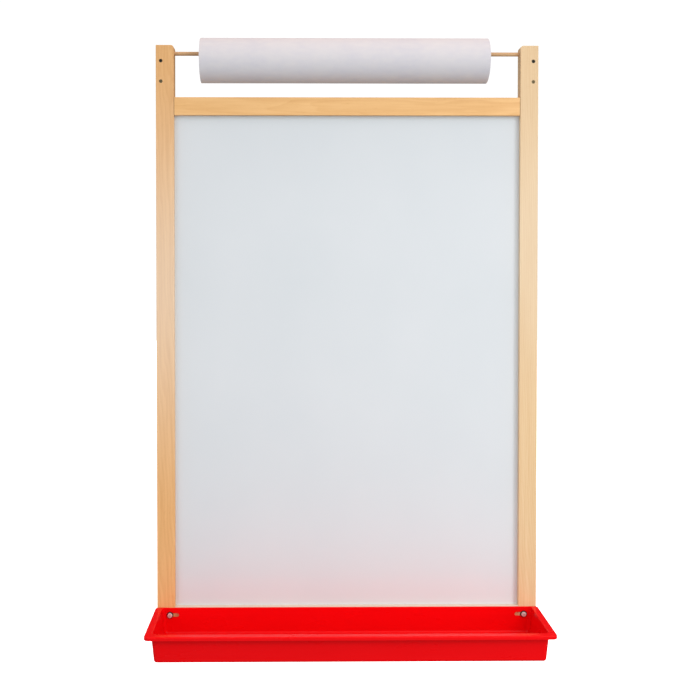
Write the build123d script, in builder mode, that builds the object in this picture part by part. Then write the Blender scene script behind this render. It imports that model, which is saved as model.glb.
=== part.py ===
from build123d import *
import os

# Wall-hung wooden board easel: two stiles and two rails round a dry-erase panel, a roll of paper
# on a dowel between the stile tops, and a moulded paint tray across the foot.
#
# Millimetres. X runs to the viewer's right, Z is up and the easel faces -Y. The wall is the plane
# Y = 0. The origin lies on the wall, midway between the round holes of the two hanger plates.

# ---- frame ----
frame_width = 609.6
stock_thickness = 19.05
stile_width = 28.6
top_rail_width = 28.6
bottom_rail_width = 41.0
opening_height = 787.4
rail_drop = 82.6  # from the stile tops down to the top rail
top_corner_radius = 5.0
edge_ease = 0.6  # rounding on every long wooden edge
end_margin = 4.0  # from a stile's end to the block behind it

# ---- dry-erase panel, held in grooves all round ----
panel_setback = 8.0
face_thickness = 0.7
core_board_thickness = 3.2
groove_depth = 6.0
groove_slack = 0.4
panel_edge_gap = 1.0

# ---- joint pins between rails and stiles ----
pin_diameter = 6.0
pin_length = 36.0
pin_inset = 7.0  # from a rail's outer edge to its first pin
top_pin_spacing = 10.0
bottom_pin_spacing = 11.0
pin_chamfer = 0.6
pin_end_gap = 0.5  # glue space past each end of a pin
glue_gap = 0.05  # radial gap round pins, screws and the core

# ---- roll dowel: it slides right into the deep hole until its left end is free ----
dowel_diameter = 6.35
dowel_drop = 12.0  # from the stile tops to the dowel's axis
dowel_hole_clearance = 0.3  # radial
dowel_engagement = 7.5  # length held by each stile at rest
dowel_travel = 9.5
dowel_end_gap = 0.5
dowel_chamfer = 0.8

# ---- paper roll: it hangs from the dowel by the inside of its core ----
roll_length = 457.2
roll_diameter = 71.0
roll_offset_x = -5.0
core_bore = 28.5
core_wall = 1.6
core_rest_gap = 0.3  # between the core and the top of the dowel
roll_wall_clearance = 12.1  # behind the roll

# ---- blocks that hold the frame off the wall ----
block_width = 16.0
block_height = 76.0
block_ease = 1.0
hanger_drop = 42.0  # from the stile tops to the hanger holes

# ---- screws from the front into the stand-off blocks ----
standoff_screw_inset = 8.0  # from the stile's outer edge
first_screw_drop = 25.0
standoff_screw_pitch = 32.5
standoff_screw_bite = 22.0
trim_head_diameter = 5.4
trim_head_height = 2.4
trim_head_recess = 0.5  # head below the wood's surface
trim_hole_diameter = 5.8
wood_screw_diameter = 4.2

# ---- keyhole hanger plates ----
plate_width = 14.0
plate_height = 44.0
plate_thickness = 1.6
plate_corner = 3.0
plate_centre_rise = 3.0  # plate centre above the round hole
keyhole_radius = 4.5
keyhole_slot_width = 4.8
keyhole_rise = 8.0
pocket_depth = 7.0
pocket_margin = 1.0  # pocket wider than the keyhole, all round
plate_screw_spacing = 34.0
plate_screw_diameter = 3.0
plate_screw_length = 10.0
plate_screw_head_diameter = 6.2

# ---- lower spacer blocks, fixed from behind ----
spacer_screw_pitch = 34.0
spacer_screw_length = 35.0
spacer_screw_bite = 13.0
spacer_head_diameter = 7.6
spacer_head_height = 2.6
counterbore_diameter = 8.6
bumper_diameter = 10.0
bumper_thickness = 2.0

# ---- paint tray ----
tray_side_overhang = 2.4  # past each stile's outer edge
tray_depth = 117.5
tray_height = 44.0
tray_wall = 2.3
tray_draft = 6.0  # degrees, sides and front
tray_step = 0.5  # rim below the top of the bottom rail
lip_overhang = 8.6
lip_drop = 5.4
lip_skirt = 2.0
lip_corner_radius = 8.0
lip_back_radius = 4.0
lip_round = 1.8
rim_round = 1.0
body_corner_radius = 10.0
tray_foot_round = 3.5
tray_floor_round = 4.5
back_corner_round = 4.5
slot_length = 19.0
slot_width = 6.5
slot_shift = 5.0  # from each screw to its slot's centre, towards the middle
tray_screw_inset = 20.8  # from the stile's outer edge
tray_screw_drop = 11.8  # below the rim

# ---- tray screws and washers ----
pan_head_diameter = 7.8
pan_head_height = 3.0
pan_head_round = 1.6
washer_diameter = 10.6
washer_thickness = 1.0
washer_clearance = 0.2
tray_screw_end_cover = 4.0  # wood left behind the screw's tip

# ---- cross recess shared by every screw ----
recess_slot = 0.9
recess_depth_share = 0.5  # of the head's height
recess_span_share = 0.6  # of the head's diameter
screw_tip = 1.2

# ---- worked out from the sizes above ----
roll_radius = roll_diameter / 2
standoff_depth = roll_radius - stock_thickness / 2 + roll_wall_clearance
back_y = -standoff_depth
front_y = back_y - stock_thickness
mid_y = back_y - stock_thickness / 2

opening_width = frame_width - 2 * stile_width
opening_x = opening_width / 2
stile_x = opening_x + stile_width / 2
stile_length = rail_drop + top_rail_width + opening_height + bottom_rail_width
top_z = hanger_drop
bottom_z = top_z - stile_length
opening_top_z = top_z - rail_drop - top_rail_width
opening_bottom_z = bottom_z + bottom_rail_width
opening_mid_z = (opening_top_z + opening_bottom_z) / 2
top_rail_z = opening_top_z + top_rail_width / 2
bottom_rail_z = bottom_z + bottom_rail_width / 2

groove_width = face_thickness + core_board_thickness + groove_slack
panel_width = opening_width + 2 * (groove_depth - panel_edge_gap)
panel_height = opening_height + 2 * (groove_depth - panel_edge_gap)

top_pins = [top_z - rail_drop - pin_inset - i * top_pin_spacing for i in range(2)]
bottom_pins = [bottom_z + pin_inset + i * bottom_pin_spacing for i in range(2)]

dowel_z = top_z - dowel_drop
dowel_radius = dowel_diameter / 2
dowel_length = opening_width + 2 * dowel_engagement
core_radius = core_bore / 2
roll_z = dowel_z + dowel_radius + core_rest_gap - core_radius
shallow_hole = dowel_engagement + dowel_end_gap
deep_hole = shallow_hole + dowel_travel

block_x = frame_width / 2 - block_width / 2
standoff_block_depth = standoff_depth - plate_thickness
spacer_block_depth = standoff_depth - bumper_thickness
spacer_z = bottom_z + end_margin + block_height / 2
spacer_screws_z = [spacer_z + side * spacer_screw_pitch / 2 for side in (-1, 1)]
spacer_bore_depth = spacer_block_depth - (spacer_screw_length - spacer_screw_bite)
standoff_screw_x = frame_width / 2 - standoff_screw_inset
standoff_screws_z = [top_z - first_screw_drop - i * standoff_screw_pitch for i in range(2)]
trim_bore_depth = trim_head_recess + trim_head_height
plate_screws_z = [plate_centre_rise + side * plate_screw_spacing / 2 for side in (-1, 1)]
sink_depth = (plate_screw_head_diameter - plate_screw_diameter) / 2

tray_width = frame_width + 2 * tray_side_overhang
tray_screw_x = frame_width / 2 - tray_screw_inset
slot_x = tray_screw_x - slot_shift
rim_z = opening_bottom_z - tray_step
tray_screw_z = rim_z - tray_screw_drop
tray_screw_bite = stock_thickness - tray_screw_end_cover


def facing_plane(y):
    """A plane at y that faces the viewer: its x is X, its y is Z and its normal is -Y."""
    return Plane(origin=(0, y, 0), x_dir=(1, 0, 0), z_dir=(0, -1, 0))


def joint_plane(side):
    """A stile's inner face: its x is Z, and its normal points into the stile."""
    return Plane(origin=(side * opening_x, mid_y, 0), x_dir=(0, 0, 1), z_dir=(side, 0, 0))


def both_sides(x, heights):
    """Points at x and -x on a facing plane, at each height."""
    return [(side * x, z) for side in (-1, 1) for z in heights]


def save(builder, name):
    """Label a finished piece and write its STEP file."""
    builder.part.label = name
    export_step(builder.part, f"parts/{name}.step")


def ease_faces(builder, radius):
    """Round the edges of a piece's front and back faces."""
    faces = builder.faces().filter_by(Axis.Y).sort_by(Axis.Y)
    fillet(faces[0].edges() + faces[-1].edges(), radius)


def recess_cutter(points, head_plane, head_diameter, head_height):
    """The cross recesses of several screws, to cut from heads whose tops lie on head_plane.

    A negative head height cuts towards the viewer, for screws driven from behind.
    """
    span = head_diameter * recess_span_share
    with BuildPart() as cutter:
        with BuildSketch(head_plane):
            with Locations(*points):
                Rectangle(span, recess_slot)
                Rectangle(recess_slot, span)
        extrude(amount=-head_height * recess_depth_share)
    return cutter.part


def build_stile(side, hole_depth):
    """One upright, with its grooves and holes. Side is -1 for the left and 1 for the right."""
    with BuildPart() as stile:
        with BuildSketch(facing_plane(front_y)) as outline:
            with Locations((side * stile_x, (top_z + bottom_z) / 2)):
                Rectangle(stile_width, stile_length)
            top_corners = outline.vertices().group_by(Axis.Y)[-1].sort_by(Axis.X)
            fillet(top_corners[0 if side > 0 else -1], top_corner_radius)
        extrude(amount=-stock_thickness)
        ease_faces(stile, edge_ease)

        with BuildSketch(facing_plane(front_y + panel_setback)):
            with Locations((side * (opening_x + groove_depth / 2), opening_mid_z)):
                Rectangle(groove_depth, opening_height + 2 * groove_depth)
        extrude(amount=-groove_width, mode=Mode.SUBTRACT)

        with BuildSketch(joint_plane(side)):
            with Locations((dowel_z, 0)):
                Circle(dowel_radius + dowel_hole_clearance)
        extrude(amount=hole_depth, mode=Mode.SUBTRACT)

        with BuildSketch(joint_plane(side)):
            with Locations(*[(z, 0) for z in top_pins + bottom_pins]):
                Circle(pin_diameter / 2 + glue_gap)
        extrude(amount=pin_length / 2 + pin_end_gap, mode=Mode.SUBTRACT)

        standoff_points = [(side * standoff_screw_x, z) for z in standoff_screws_z]
        with BuildSketch(facing_plane(front_y)):
            with Locations(*standoff_points):
                Circle(trim_hole_diameter / 2)
        extrude(amount=-trim_bore_depth, mode=Mode.SUBTRACT)
        with BuildSketch(facing_plane(front_y)):
            with Locations(*standoff_points):
                Circle(wood_screw_diameter / 2 + glue_gap)
        extrude(amount=-stock_thickness, mode=Mode.SUBTRACT)

        with BuildSketch(facing_plane(front_y)):
            with Locations((side * tray_screw_x, tray_screw_z)):
                Circle(wood_screw_diameter / 2 + glue_gap)
        extrude(amount=-tray_screw_bite - glue_gap, mode=Mode.SUBTRACT)

        with BuildSketch(facing_plane(back_y)):
            with Locations(*[(side * block_x, z) for z in spacer_screws_z]):
                Circle(wood_screw_diameter / 2 + glue_gap)
        extrude(amount=spacer_screw_bite + glue_gap, mode=Mode.SUBTRACT)
    return stile


def build_rail(mid_z, width, groove_z, pins):
    """One rail, grooved along its inner edge and drilled at both ends."""
    with BuildPart() as rail:
        with BuildSketch(facing_plane(front_y)):
            with Locations((0, mid_z)):
                Rectangle(opening_width, width)
        extrude(amount=-stock_thickness)
        fillet(rail.edges().filter_by(Axis.X), edge_ease)

        with BuildSketch(facing_plane(front_y + panel_setback)):
            with Locations((0, groove_z)):
                Rectangle(opening_width, groove_depth)
        extrude(amount=-groove_width, mode=Mode.SUBTRACT)

        for side in (-1, 1):
            with BuildSketch(joint_plane(side)):
                with Locations(*[(z, 0) for z in pins]):
                    Circle(pin_diameter / 2 + glue_gap)
            extrude(amount=-pin_length / 2 - pin_end_gap, mode=Mode.SUBTRACT)
    return rail


def build_pins(heights):
    """The four joint pins of one rail, half in the rail and half in the stiles."""
    with BuildPart() as pins:
        for side in (-1, 1):
            with BuildSketch(joint_plane(side).offset(-pin_length / 2)):
                with Locations(*[(z, 0) for z in heights]):
                    Circle(pin_diameter / 2)
            extrude(amount=pin_length)
        chamfer(pins.edges().filter_by(GeomType.CIRCLE), pin_chamfer)
    return pins


def build_standoff_block(side):
    """The block behind a stile's top, with a pocket behind its hanger plate's keyhole."""
    with BuildPart() as block:
        with BuildSketch(facing_plane(back_y)):
            with Locations((side * block_x, 0)):
                Rectangle(block_width, block_height)
        extrude(amount=-standoff_block_depth)
        fillet(block.edges().filter_by(Axis.Y), block_ease)

        with BuildSketch(facing_plane(back_y)):
            with Locations(*[(side * standoff_screw_x, z) for z in standoff_screws_z]):
                Circle(wood_screw_diameter / 2 + glue_gap)
        extrude(amount=-standoff_screw_bite - glue_gap, mode=Mode.SUBTRACT)

        pocket_width = 2 * (keyhole_radius + pocket_margin)
        with BuildSketch(facing_plane(-plate_thickness)):
            with Locations((side * block_x, keyhole_rise / 2)):
                SlotOverall(pocket_width + keyhole_rise, pocket_width, rotation=90)
        extrude(amount=pocket_depth, mode=Mode.SUBTRACT)
        with BuildSketch(facing_plane(-plate_thickness)):
            with Locations(*[(side * block_x, z) for z in plate_screws_z]):
                Circle(plate_screw_diameter / 2 + glue_gap)
        extrude(amount=plate_screw_length, mode=Mode.SUBTRACT)
    return block


def build_hanger_plate(side):
    """A keyhole plate whose back face lies against the wall."""
    with BuildPart() as plate:
        with BuildSketch(facing_plane(0)):
            with Locations((side * block_x, plate_centre_rise)):
                RectangleRounded(plate_width, plate_height, plate_corner)
            with Locations((side * block_x, 0)):
                Circle(keyhole_radius, mode=Mode.SUBTRACT)
            with Locations((side * block_x, keyhole_rise / 2)):
                SlotOverall(
                    keyhole_rise + keyhole_slot_width, keyhole_slot_width, rotation=90,
                    mode=Mode.SUBTRACT,
                )
        extrude(amount=plate_thickness)
        with BuildSketch(facing_plane(0)):
            with Locations(*[(side * block_x, z) for z in plate_screws_z]):
                Circle(plate_screw_head_diameter / 2 + glue_gap)
        extrude(amount=sink_depth, taper=45, mode=Mode.SUBTRACT)
        with BuildSketch(facing_plane(0)):
            with Locations(*[(side * block_x, z) for z in plate_screws_z]):
                Circle(plate_screw_diameter / 2 + glue_gap)
        extrude(amount=plate_thickness, mode=Mode.SUBTRACT)
    return plate


def build_spacer_block(side):
    """The block behind a stile's foot, bored from behind for its two screws."""
    points = [(side * block_x, z) for z in spacer_screws_z]
    with BuildPart() as block:
        with BuildSketch(facing_plane(back_y)):
            with Locations((side * block_x, spacer_z)):
                Rectangle(block_width, block_height)
        extrude(amount=-spacer_block_depth)
        fillet(block.edges().filter_by(Axis.Y), block_ease)
        with BuildSketch(facing_plane(back_y)):
            with Locations(*points):
                Circle(wood_screw_diameter / 2 + glue_gap)
        extrude(amount=-spacer_block_depth, mode=Mode.SUBTRACT)
        with BuildSketch(facing_plane(back_y + spacer_block_depth)):
            with Locations(*points):
                Circle(counterbore_diameter / 2)
        extrude(amount=spacer_bore_depth, mode=Mode.SUBTRACT)
    return block


os.makedirs("parts", exist_ok=True)

# ---- wooden frame ----
left_stile = build_stile(-1, shallow_hole)
save(left_stile, "left_stile")
right_stile = build_stile(1, deep_hole)
save(right_stile, "right_stile")

top_rail = build_rail(top_rail_z, top_rail_width, opening_top_z + groove_depth / 2, top_pins)
save(top_rail, "top_rail")
bottom_rail = build_rail(
    bottom_rail_z, bottom_rail_width, opening_bottom_z - groove_depth / 2, bottom_pins
)
save(bottom_rail, "bottom_rail")
save(build_pins(top_pins), "top_rail_pins")
save(build_pins(bottom_pins), "bottom_rail_pins")

# ---- dry-erase panel: a thin glossy sheet bonded to a hardboard core ----
with BuildPart() as dry_erase_face:
    with BuildSketch(facing_plane(front_y + panel_setback)):
        with Locations((0, opening_mid_z)):
            Rectangle(panel_width, panel_height)
    extrude(amount=-face_thickness)
save(dry_erase_face, "dry_erase_face")

with BuildPart() as hardboard_core:
    with BuildSketch(facing_plane(front_y + panel_setback + face_thickness)):
        with Locations((0, opening_mid_z)):
            Rectangle(panel_width, panel_height)
    extrude(amount=-core_board_thickness)
save(hardboard_core, "hardboard_core")

# ---- dowel and paper roll ----
with BuildPart() as roll_dowel:
    with BuildSketch(Plane(origin=(-dowel_length / 2, mid_y, dowel_z), z_dir=(1, 0, 0))):
        Circle(dowel_radius)
    extrude(amount=dowel_length)
    chamfer(roll_dowel.edges().filter_by(GeomType.CIRCLE), dowel_chamfer)
save(roll_dowel, "roll_dowel")

roll_plane = Plane(origin=(roll_offset_x - roll_length / 2, mid_y, roll_z), z_dir=(1, 0, 0))
with BuildPart() as roll_core:
    with BuildSketch(roll_plane):
        Circle(core_radius + core_wall)
        Circle(core_radius, mode=Mode.SUBTRACT)
    extrude(amount=roll_length)
save(roll_core, "roll_core")

with BuildPart() as paper_roll:
    with BuildSketch(roll_plane):
        Circle(roll_radius)
        Circle(core_radius + core_wall + glue_gap, mode=Mode.SUBTRACT)
    extrude(amount=roll_length)
save(paper_roll, "paper_roll")

# ---- stand-off blocks, their screws and their hanger plates ----
save(build_standoff_block(-1), "left_standoff_block")
save(build_standoff_block(1), "right_standoff_block")

standoff_points = both_sides(standoff_screw_x, standoff_screws_z)
trim_head_plane = facing_plane(front_y + trim_head_recess)
trim_shank_plane = trim_head_plane.offset(-trim_head_height)
with BuildPart() as standoff_screws:
    with BuildSketch(trim_shank_plane):
        with Locations(*standoff_points):
            Circle(trim_head_diameter / 2)
    extrude(amount=trim_head_height)
    add(
        recess_cutter(standoff_points, trim_head_plane, trim_head_diameter, trim_head_height),
        mode=Mode.SUBTRACT,
    )
    with BuildSketch(trim_shank_plane):
        with Locations(*standoff_points):
            Circle(wood_screw_diameter / 2)
    extrude(amount=-(stock_thickness - trim_bore_depth + standoff_screw_bite))
    tips = standoff_screws.edges().filter_by(GeomType.CIRCLE).group_by(Axis.Y)[-1]
    chamfer(tips, screw_tip)
save(standoff_screws, "standoff_screws")

save(build_hanger_plate(-1), "left_hanger_plate")
save(build_hanger_plate(1), "right_hanger_plate")

plate_points = both_sides(block_x, plate_screws_z)
with BuildPart() as hanger_plate_screws:
    with BuildSketch(facing_plane(0)):
        with Locations(*plate_points):
            Circle(plate_screw_head_diameter / 2)
    extrude(amount=sink_depth, taper=45)
    with BuildSketch(facing_plane(0)):
        with Locations(*plate_points):
            Circle(plate_screw_diameter / 2)
    extrude(amount=plate_screw_length)
    add(
        recess_cutter(plate_points, facing_plane(0), plate_screw_head_diameter, -sink_depth),
        mode=Mode.SUBTRACT,
    )
save(hanger_plate_screws, "hanger_plate_screws")

# ---- spacer blocks, their screws and their bumpers ----
save(build_spacer_block(-1), "left_spacer_block")
save(build_spacer_block(1), "right_spacer_block")

spacer_points = both_sides(block_x, spacer_screws_z)
spacer_head_y = back_y - spacer_screw_bite + spacer_screw_length
with BuildPart() as spacer_screws:
    with BuildSketch(facing_plane(spacer_head_y)):
        with Locations(*spacer_points):
            Circle(wood_screw_diameter / 2)
    extrude(amount=spacer_screw_length)
    chamfer(spacer_screws.edges().filter_by(GeomType.CIRCLE).group_by(Axis.Y)[0], screw_tip)
    with BuildSketch(facing_plane(spacer_head_y)):
        with Locations(*spacer_points):
            Circle(spacer_head_diameter / 2)
    extrude(amount=-spacer_head_height)
    spacer_head_plane = facing_plane(spacer_head_y + spacer_head_height)
    add(
        recess_cutter(spacer_points, spacer_head_plane, spacer_head_diameter, -spacer_head_height),
        mode=Mode.SUBTRACT,
    )
save(spacer_screws, "spacer_screws")

with BuildPart() as wall_bumpers:
    with BuildSketch(facing_plane(0)):
        with Locations(*both_sides(block_x, [spacer_z])):
            Circle(bumper_diameter / 2)
    extrude(amount=bumper_thickness)
    fillet(wall_bumpers.edges().filter_by(GeomType.CIRCLE).group_by(Axis.Y)[-1], edge_ease)
save(wall_bumpers, "wall_bumpers")

# ---- paint tray: flat-backed, drafted on its other sides, with a turned-down lip ----
body_width = tray_width - 2 * lip_overhang
body_depth = tray_depth - lip_overhang
rim_plane = Plane(origin=(0, front_y, rim_z))
well_plane = Plane(origin=(0, front_y - tray_wall, rim_z))


def lip_outline(inset, back_radius=0):
    """The lip's plan, taken in by inset at its sides and front but not at its back."""
    depth = tray_depth - inset
    with BuildSketch(rim_plane, mode=Mode.PRIVATE) as plan:
        with Locations((0, -depth / 2)):
            Rectangle(tray_width - 2 * inset, depth)
        fillet(plan.vertices().group_by(Axis.Y)[0], lip_corner_radius - inset)
        if back_radius:
            fillet(plan.vertices().group_by(Axis.Y)[-1], back_radius)
    return plan.sketch


def half_tub(plane, width, depth, height, corner, foot_round, back_round=0):
    """A solid with a flat back at a plane's origin, drafted on its sides and front."""
    with BuildPart() as tub:
        with BuildSketch(plane):
            RectangleRounded(width, 2 * depth, corner)
        extrude(amount=-height, taper=tray_draft)
        fillet(tub.faces().sort_by(Axis.Z)[0].edges(), foot_round)
        split(bisect_by=Plane(origin=plane.origin, z_dir=(0, -1, 0)), keep=Keep.TOP)
        if back_round:
            back_face = tub.faces().sort_by(Axis.Y)[-1]
            fillet(back_face.edges().sort_by(Axis.Z)[:-1], back_round)
    return tub.part


tray_body = half_tub(
    rim_plane, body_width, body_depth, tray_height, body_corner_radius, tray_foot_round
)
tray_well = half_tub(
    well_plane, body_width - 2 * tray_wall, body_depth - 2 * tray_wall,
    tray_height - tray_wall, body_corner_radius - tray_wall, tray_floor_round,
    back_round=back_corner_round,
)

tray_wall_plane = facing_plane(front_y - tray_wall)

with BuildPart() as paint_tray:
    add(lip_outline(0, lip_back_radius))
    extrude(amount=-lip_drop)
    add(lip_outline(lip_skirt).moved(Location((0, 0, -tray_wall))))
    extrude(amount=-(lip_drop - tray_wall), mode=Mode.SUBTRACT)
    add(tray_body)
    add(tray_well, mode=Mode.SUBTRACT)
    rim_face = paint_tray.faces().filter_by(Axis.Z).sort_by(Axis.Z)[-1]
    lip_edges = rim_face.outer_wire().edges().filter_by_position(
        Axis.Y, front_y - tray_depth, front_y - glue_gap
    )
    fillet(lip_edges, lip_round)
    rim_face = paint_tray.faces().filter_by(Axis.Z).sort_by(Axis.Z)[-1]
    rim_edges = rim_face.inner_wires()[0].edges().filter_by_position(
        Axis.Y, front_y - tray_depth, front_y - tray_wall - back_corner_round
    )
    fillet(rim_edges, rim_round)
    with BuildSketch(tray_wall_plane):
        with Locations(*both_sides(slot_x, [tray_screw_z])):
            SlotOverall(slot_length, slot_width)
    extrude(amount=-tray_wall, mode=Mode.SUBTRACT)
save(paint_tray, "paint_tray")

# ---- tray screws and washers ----
tray_screw_points = both_sides(tray_screw_x, [tray_screw_z])
with BuildPart() as tray_washers:
    with BuildSketch(tray_wall_plane):
        with Locations(*tray_screw_points):
            Circle(washer_diameter / 2)
            Circle(wood_screw_diameter / 2 + washer_clearance, mode=Mode.SUBTRACT)
    extrude(amount=washer_thickness)
save(tray_washers, "tray_washers")

pan_seat_plane = tray_wall_plane.offset(washer_thickness)
pan_top_plane = pan_seat_plane.offset(pan_head_height)
with BuildPart() as tray_screws:
    with BuildSketch(pan_seat_plane):
        with Locations(*tray_screw_points):
            Circle(pan_head_diameter / 2)
    extrude(amount=pan_head_height)
    fillet(tray_screws.edges().filter_by(GeomType.CIRCLE).group_by(Axis.Y)[0], pan_head_round)
    add(
        recess_cutter(tray_screw_points, pan_top_plane, pan_head_diameter, pan_head_height),
        mode=Mode.SUBTRACT,
    )
    with BuildSketch(pan_seat_plane):
        with Locations(*tray_screw_points):
            Circle(wood_screw_diameter / 2)
    extrude(amount=-(washer_thickness + tray_wall + tray_screw_bite))
    chamfer(tray_screws.edges().filter_by(GeomType.CIRCLE).group_by(Axis.Y)[-1], screw_tip)
save(tray_screws, "tray_screws")
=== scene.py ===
"""Looks of a wall-hung wooden board easel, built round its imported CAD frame.

Metres throughout. X runs to the viewer's right, Z is up, the board faces -Y and the wall is the
plane Y = 0. Every piece takes its place from the CAD boxes.
"""

from __future__ import annotations

import logging
import math
import random
from abc import ABC, abstractmethod
from dataclasses import dataclass, field
from enum import Enum

import bmesh
import bpy
from bmesh.types import BMesh, BMVert
from bpy.types import Material, Node, NodeSocket, NodeTree, Object
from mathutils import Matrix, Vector, noise


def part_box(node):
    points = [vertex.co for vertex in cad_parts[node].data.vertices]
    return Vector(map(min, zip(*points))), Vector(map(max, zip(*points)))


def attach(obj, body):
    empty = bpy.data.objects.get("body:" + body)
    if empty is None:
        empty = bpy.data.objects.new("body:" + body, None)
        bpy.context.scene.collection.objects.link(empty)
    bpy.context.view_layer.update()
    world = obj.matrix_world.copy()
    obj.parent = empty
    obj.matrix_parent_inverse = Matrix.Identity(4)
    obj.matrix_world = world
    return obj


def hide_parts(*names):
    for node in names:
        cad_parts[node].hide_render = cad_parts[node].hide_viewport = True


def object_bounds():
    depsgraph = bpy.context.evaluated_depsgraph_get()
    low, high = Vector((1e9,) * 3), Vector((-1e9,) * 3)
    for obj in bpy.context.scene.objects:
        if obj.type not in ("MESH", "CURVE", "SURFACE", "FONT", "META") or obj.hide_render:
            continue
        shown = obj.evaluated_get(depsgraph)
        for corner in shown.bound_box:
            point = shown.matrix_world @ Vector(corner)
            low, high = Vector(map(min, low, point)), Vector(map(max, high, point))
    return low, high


log = logging.getLogger("easel")

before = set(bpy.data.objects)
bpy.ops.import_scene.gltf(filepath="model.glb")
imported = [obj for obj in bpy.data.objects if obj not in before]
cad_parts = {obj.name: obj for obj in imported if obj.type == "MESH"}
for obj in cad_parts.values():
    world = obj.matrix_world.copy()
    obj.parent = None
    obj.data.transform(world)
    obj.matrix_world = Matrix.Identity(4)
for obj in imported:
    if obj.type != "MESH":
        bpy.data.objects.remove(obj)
cad_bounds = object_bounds()

MM = 0.001
SEED_STRIDES = (3.7, 1.9, 5.3)  # how far a step of a wood's seed moves its patterns, per axis

# a Mix node's sockets for colours come after its sockets for numbers and vectors
SHARE, FIRST, SECOND = 0, 6, 7
MIXED = 2


def srgb_to_linear(hex_colour: str) -> tuple[float, float, float, float]:
    """Turn an sRGB hex colour into linear RGBA.

    Args:
        hex_colour: six hex digits after a hash.

    Returns:
        Linear red, green, blue and an alpha of 1.
    """
    channels = [int(hex_colour[i : i + 2], 16) / 255 for i in (1, 3, 5)]
    linear = [c / 12.92 if c <= 0.04045 else ((c + 0.055) / 1.055) ** 2.4 for c in channels]
    return (linear[0], linear[1], linear[2], 1.0)


def fill(tree: NodeTree, node: Node, inputs: dict) -> None:
    """Fill a node's inputs: an output socket is linked, and anything else is a constant.

    Args:
        tree: the tree that the node is in.
        node: the node.
        inputs: values or output sockets, by input name or number.
    """
    for key, value in inputs.items():
        if isinstance(value, NodeSocket):
            tree.links.new(value, node.inputs[key])
        else:
            node.inputs[key].default_value = value


def add_node(tree: NodeTree, kind: str, inputs: dict | None = None, **settings: object) -> Node:
    """Add a node, set its properties and fill its inputs.

    Args:
        tree: the node tree to add to.
        kind: the node's class name, without ShaderNode before it.
        inputs: values or output sockets, by input name or number.
        settings: properties of the node itself.

    Returns:
        The new node.
    """
    node = tree.nodes.new("ShaderNode" + kind)
    for name, value in settings.items():
        setattr(node, name, value)
    fill(tree, node, inputs or {})
    return node


class GrainAxis(Enum):
    """The direction that a piece of wood's fibres run in."""

    ALONG_X = "x"
    ALONG_Z = "z"


# --------------------------------------------------------------------------------------------
# Finishes
# --------------------------------------------------------------------------------------------


@dataclass(frozen=True)
class Finish(ABC):
    """A surface finish, named for its material and for how its surface was made."""

    name: str

    def material(self) -> Material:
        """Make this finish's material, on first use.

        Returns:
            The material, which every piece with this finish shares.
        """
        known = bpy.data.materials.get(self.name)
        if known is not None:
            return known
        made = bpy.data.materials.new(self.name)
        made.use_nodes = True
        made.node_tree.nodes.clear()
        shader = add_node(made.node_tree, "BsdfPrincipled")
        add_node(made.node_tree, "OutputMaterial", {"Surface": shader.outputs[0]})
        self.wire(made.node_tree, shader)
        return made

    @abstractmethod
    def wire(self, tree: NodeTree, shader: Node) -> None:
        """Set the shader up and wire this finish's patterns into it.

        Args:
            tree: the material's node tree.
            shader: its Principled shader.
        """

    def millimetres(self, tree: NodeTree, scale: tuple[float, float, float]) -> NodeSocket:
        """Return object coordinates counted in pattern lengths.

        Args:
            tree: the material's node tree.
            scale: the pattern's length along X, Y and Z, in millimetres.

        Returns:
            The vector socket.
        """
        place = add_node(tree, "TexCoord").outputs["Object"]
        factors = tuple(1 / (length * MM) for length in scale)
        scaled = add_node(tree, "VectorMath", {0: place, 1: factors}, operation="MULTIPLY")
        return scaled.outputs[0]

    def cloudy(
        self, tree: NodeTree, size_mm: tuple[float, float, float], detail: float, **more: float
    ) -> NodeSocket:
        """Wire a cloudy pattern of a real size.

        Args:
            tree: the material's node tree.
            size_mm: the clouds' lengths along X, Y and Z.
            detail: how many finer layers of cloud it has.
            more: other inputs of the noise, by name.

        Returns:
            The pattern's socket, from 0 to 1.
        """
        clouds = {"Vector": self.millimetres(tree, size_mm), "Scale": 1.0, "Detail": detail, **more}
        return add_node(tree, "TexNoise", clouds).outputs["Fac"]

    def place(self, tree: NodeTree) -> Node:
        """Return a node that gives X, Y and Z on the easel in millimetres."""
        return add_node(tree, "SeparateXYZ", {0: self.millimetres(tree, (1.0, 1.0, 1.0))})

    def distance_from_line(self, tree: NodeTree, offsets: list[NodeSocket]) -> NodeSocket:
        """Return how far a point lies from a line, from its two offsets across it.

        Args:
            tree: the material's node tree.
            offsets: the two offsets, square to each other.

        Returns:
            The distance socket.
        """
        squares = [
            add_node(tree, "Math", {0: offset, 1: offset}, operation="MULTIPLY")
            for offset in offsets
        ]
        total = add_node(
            tree, "Math", {0: squares[0].outputs[0], 1: squares[1].outputs[0]}, operation="ADD"
        )
        return add_node(tree, "Math", {0: total.outputs[0]}, operation="SQRT").outputs[0]


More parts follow.
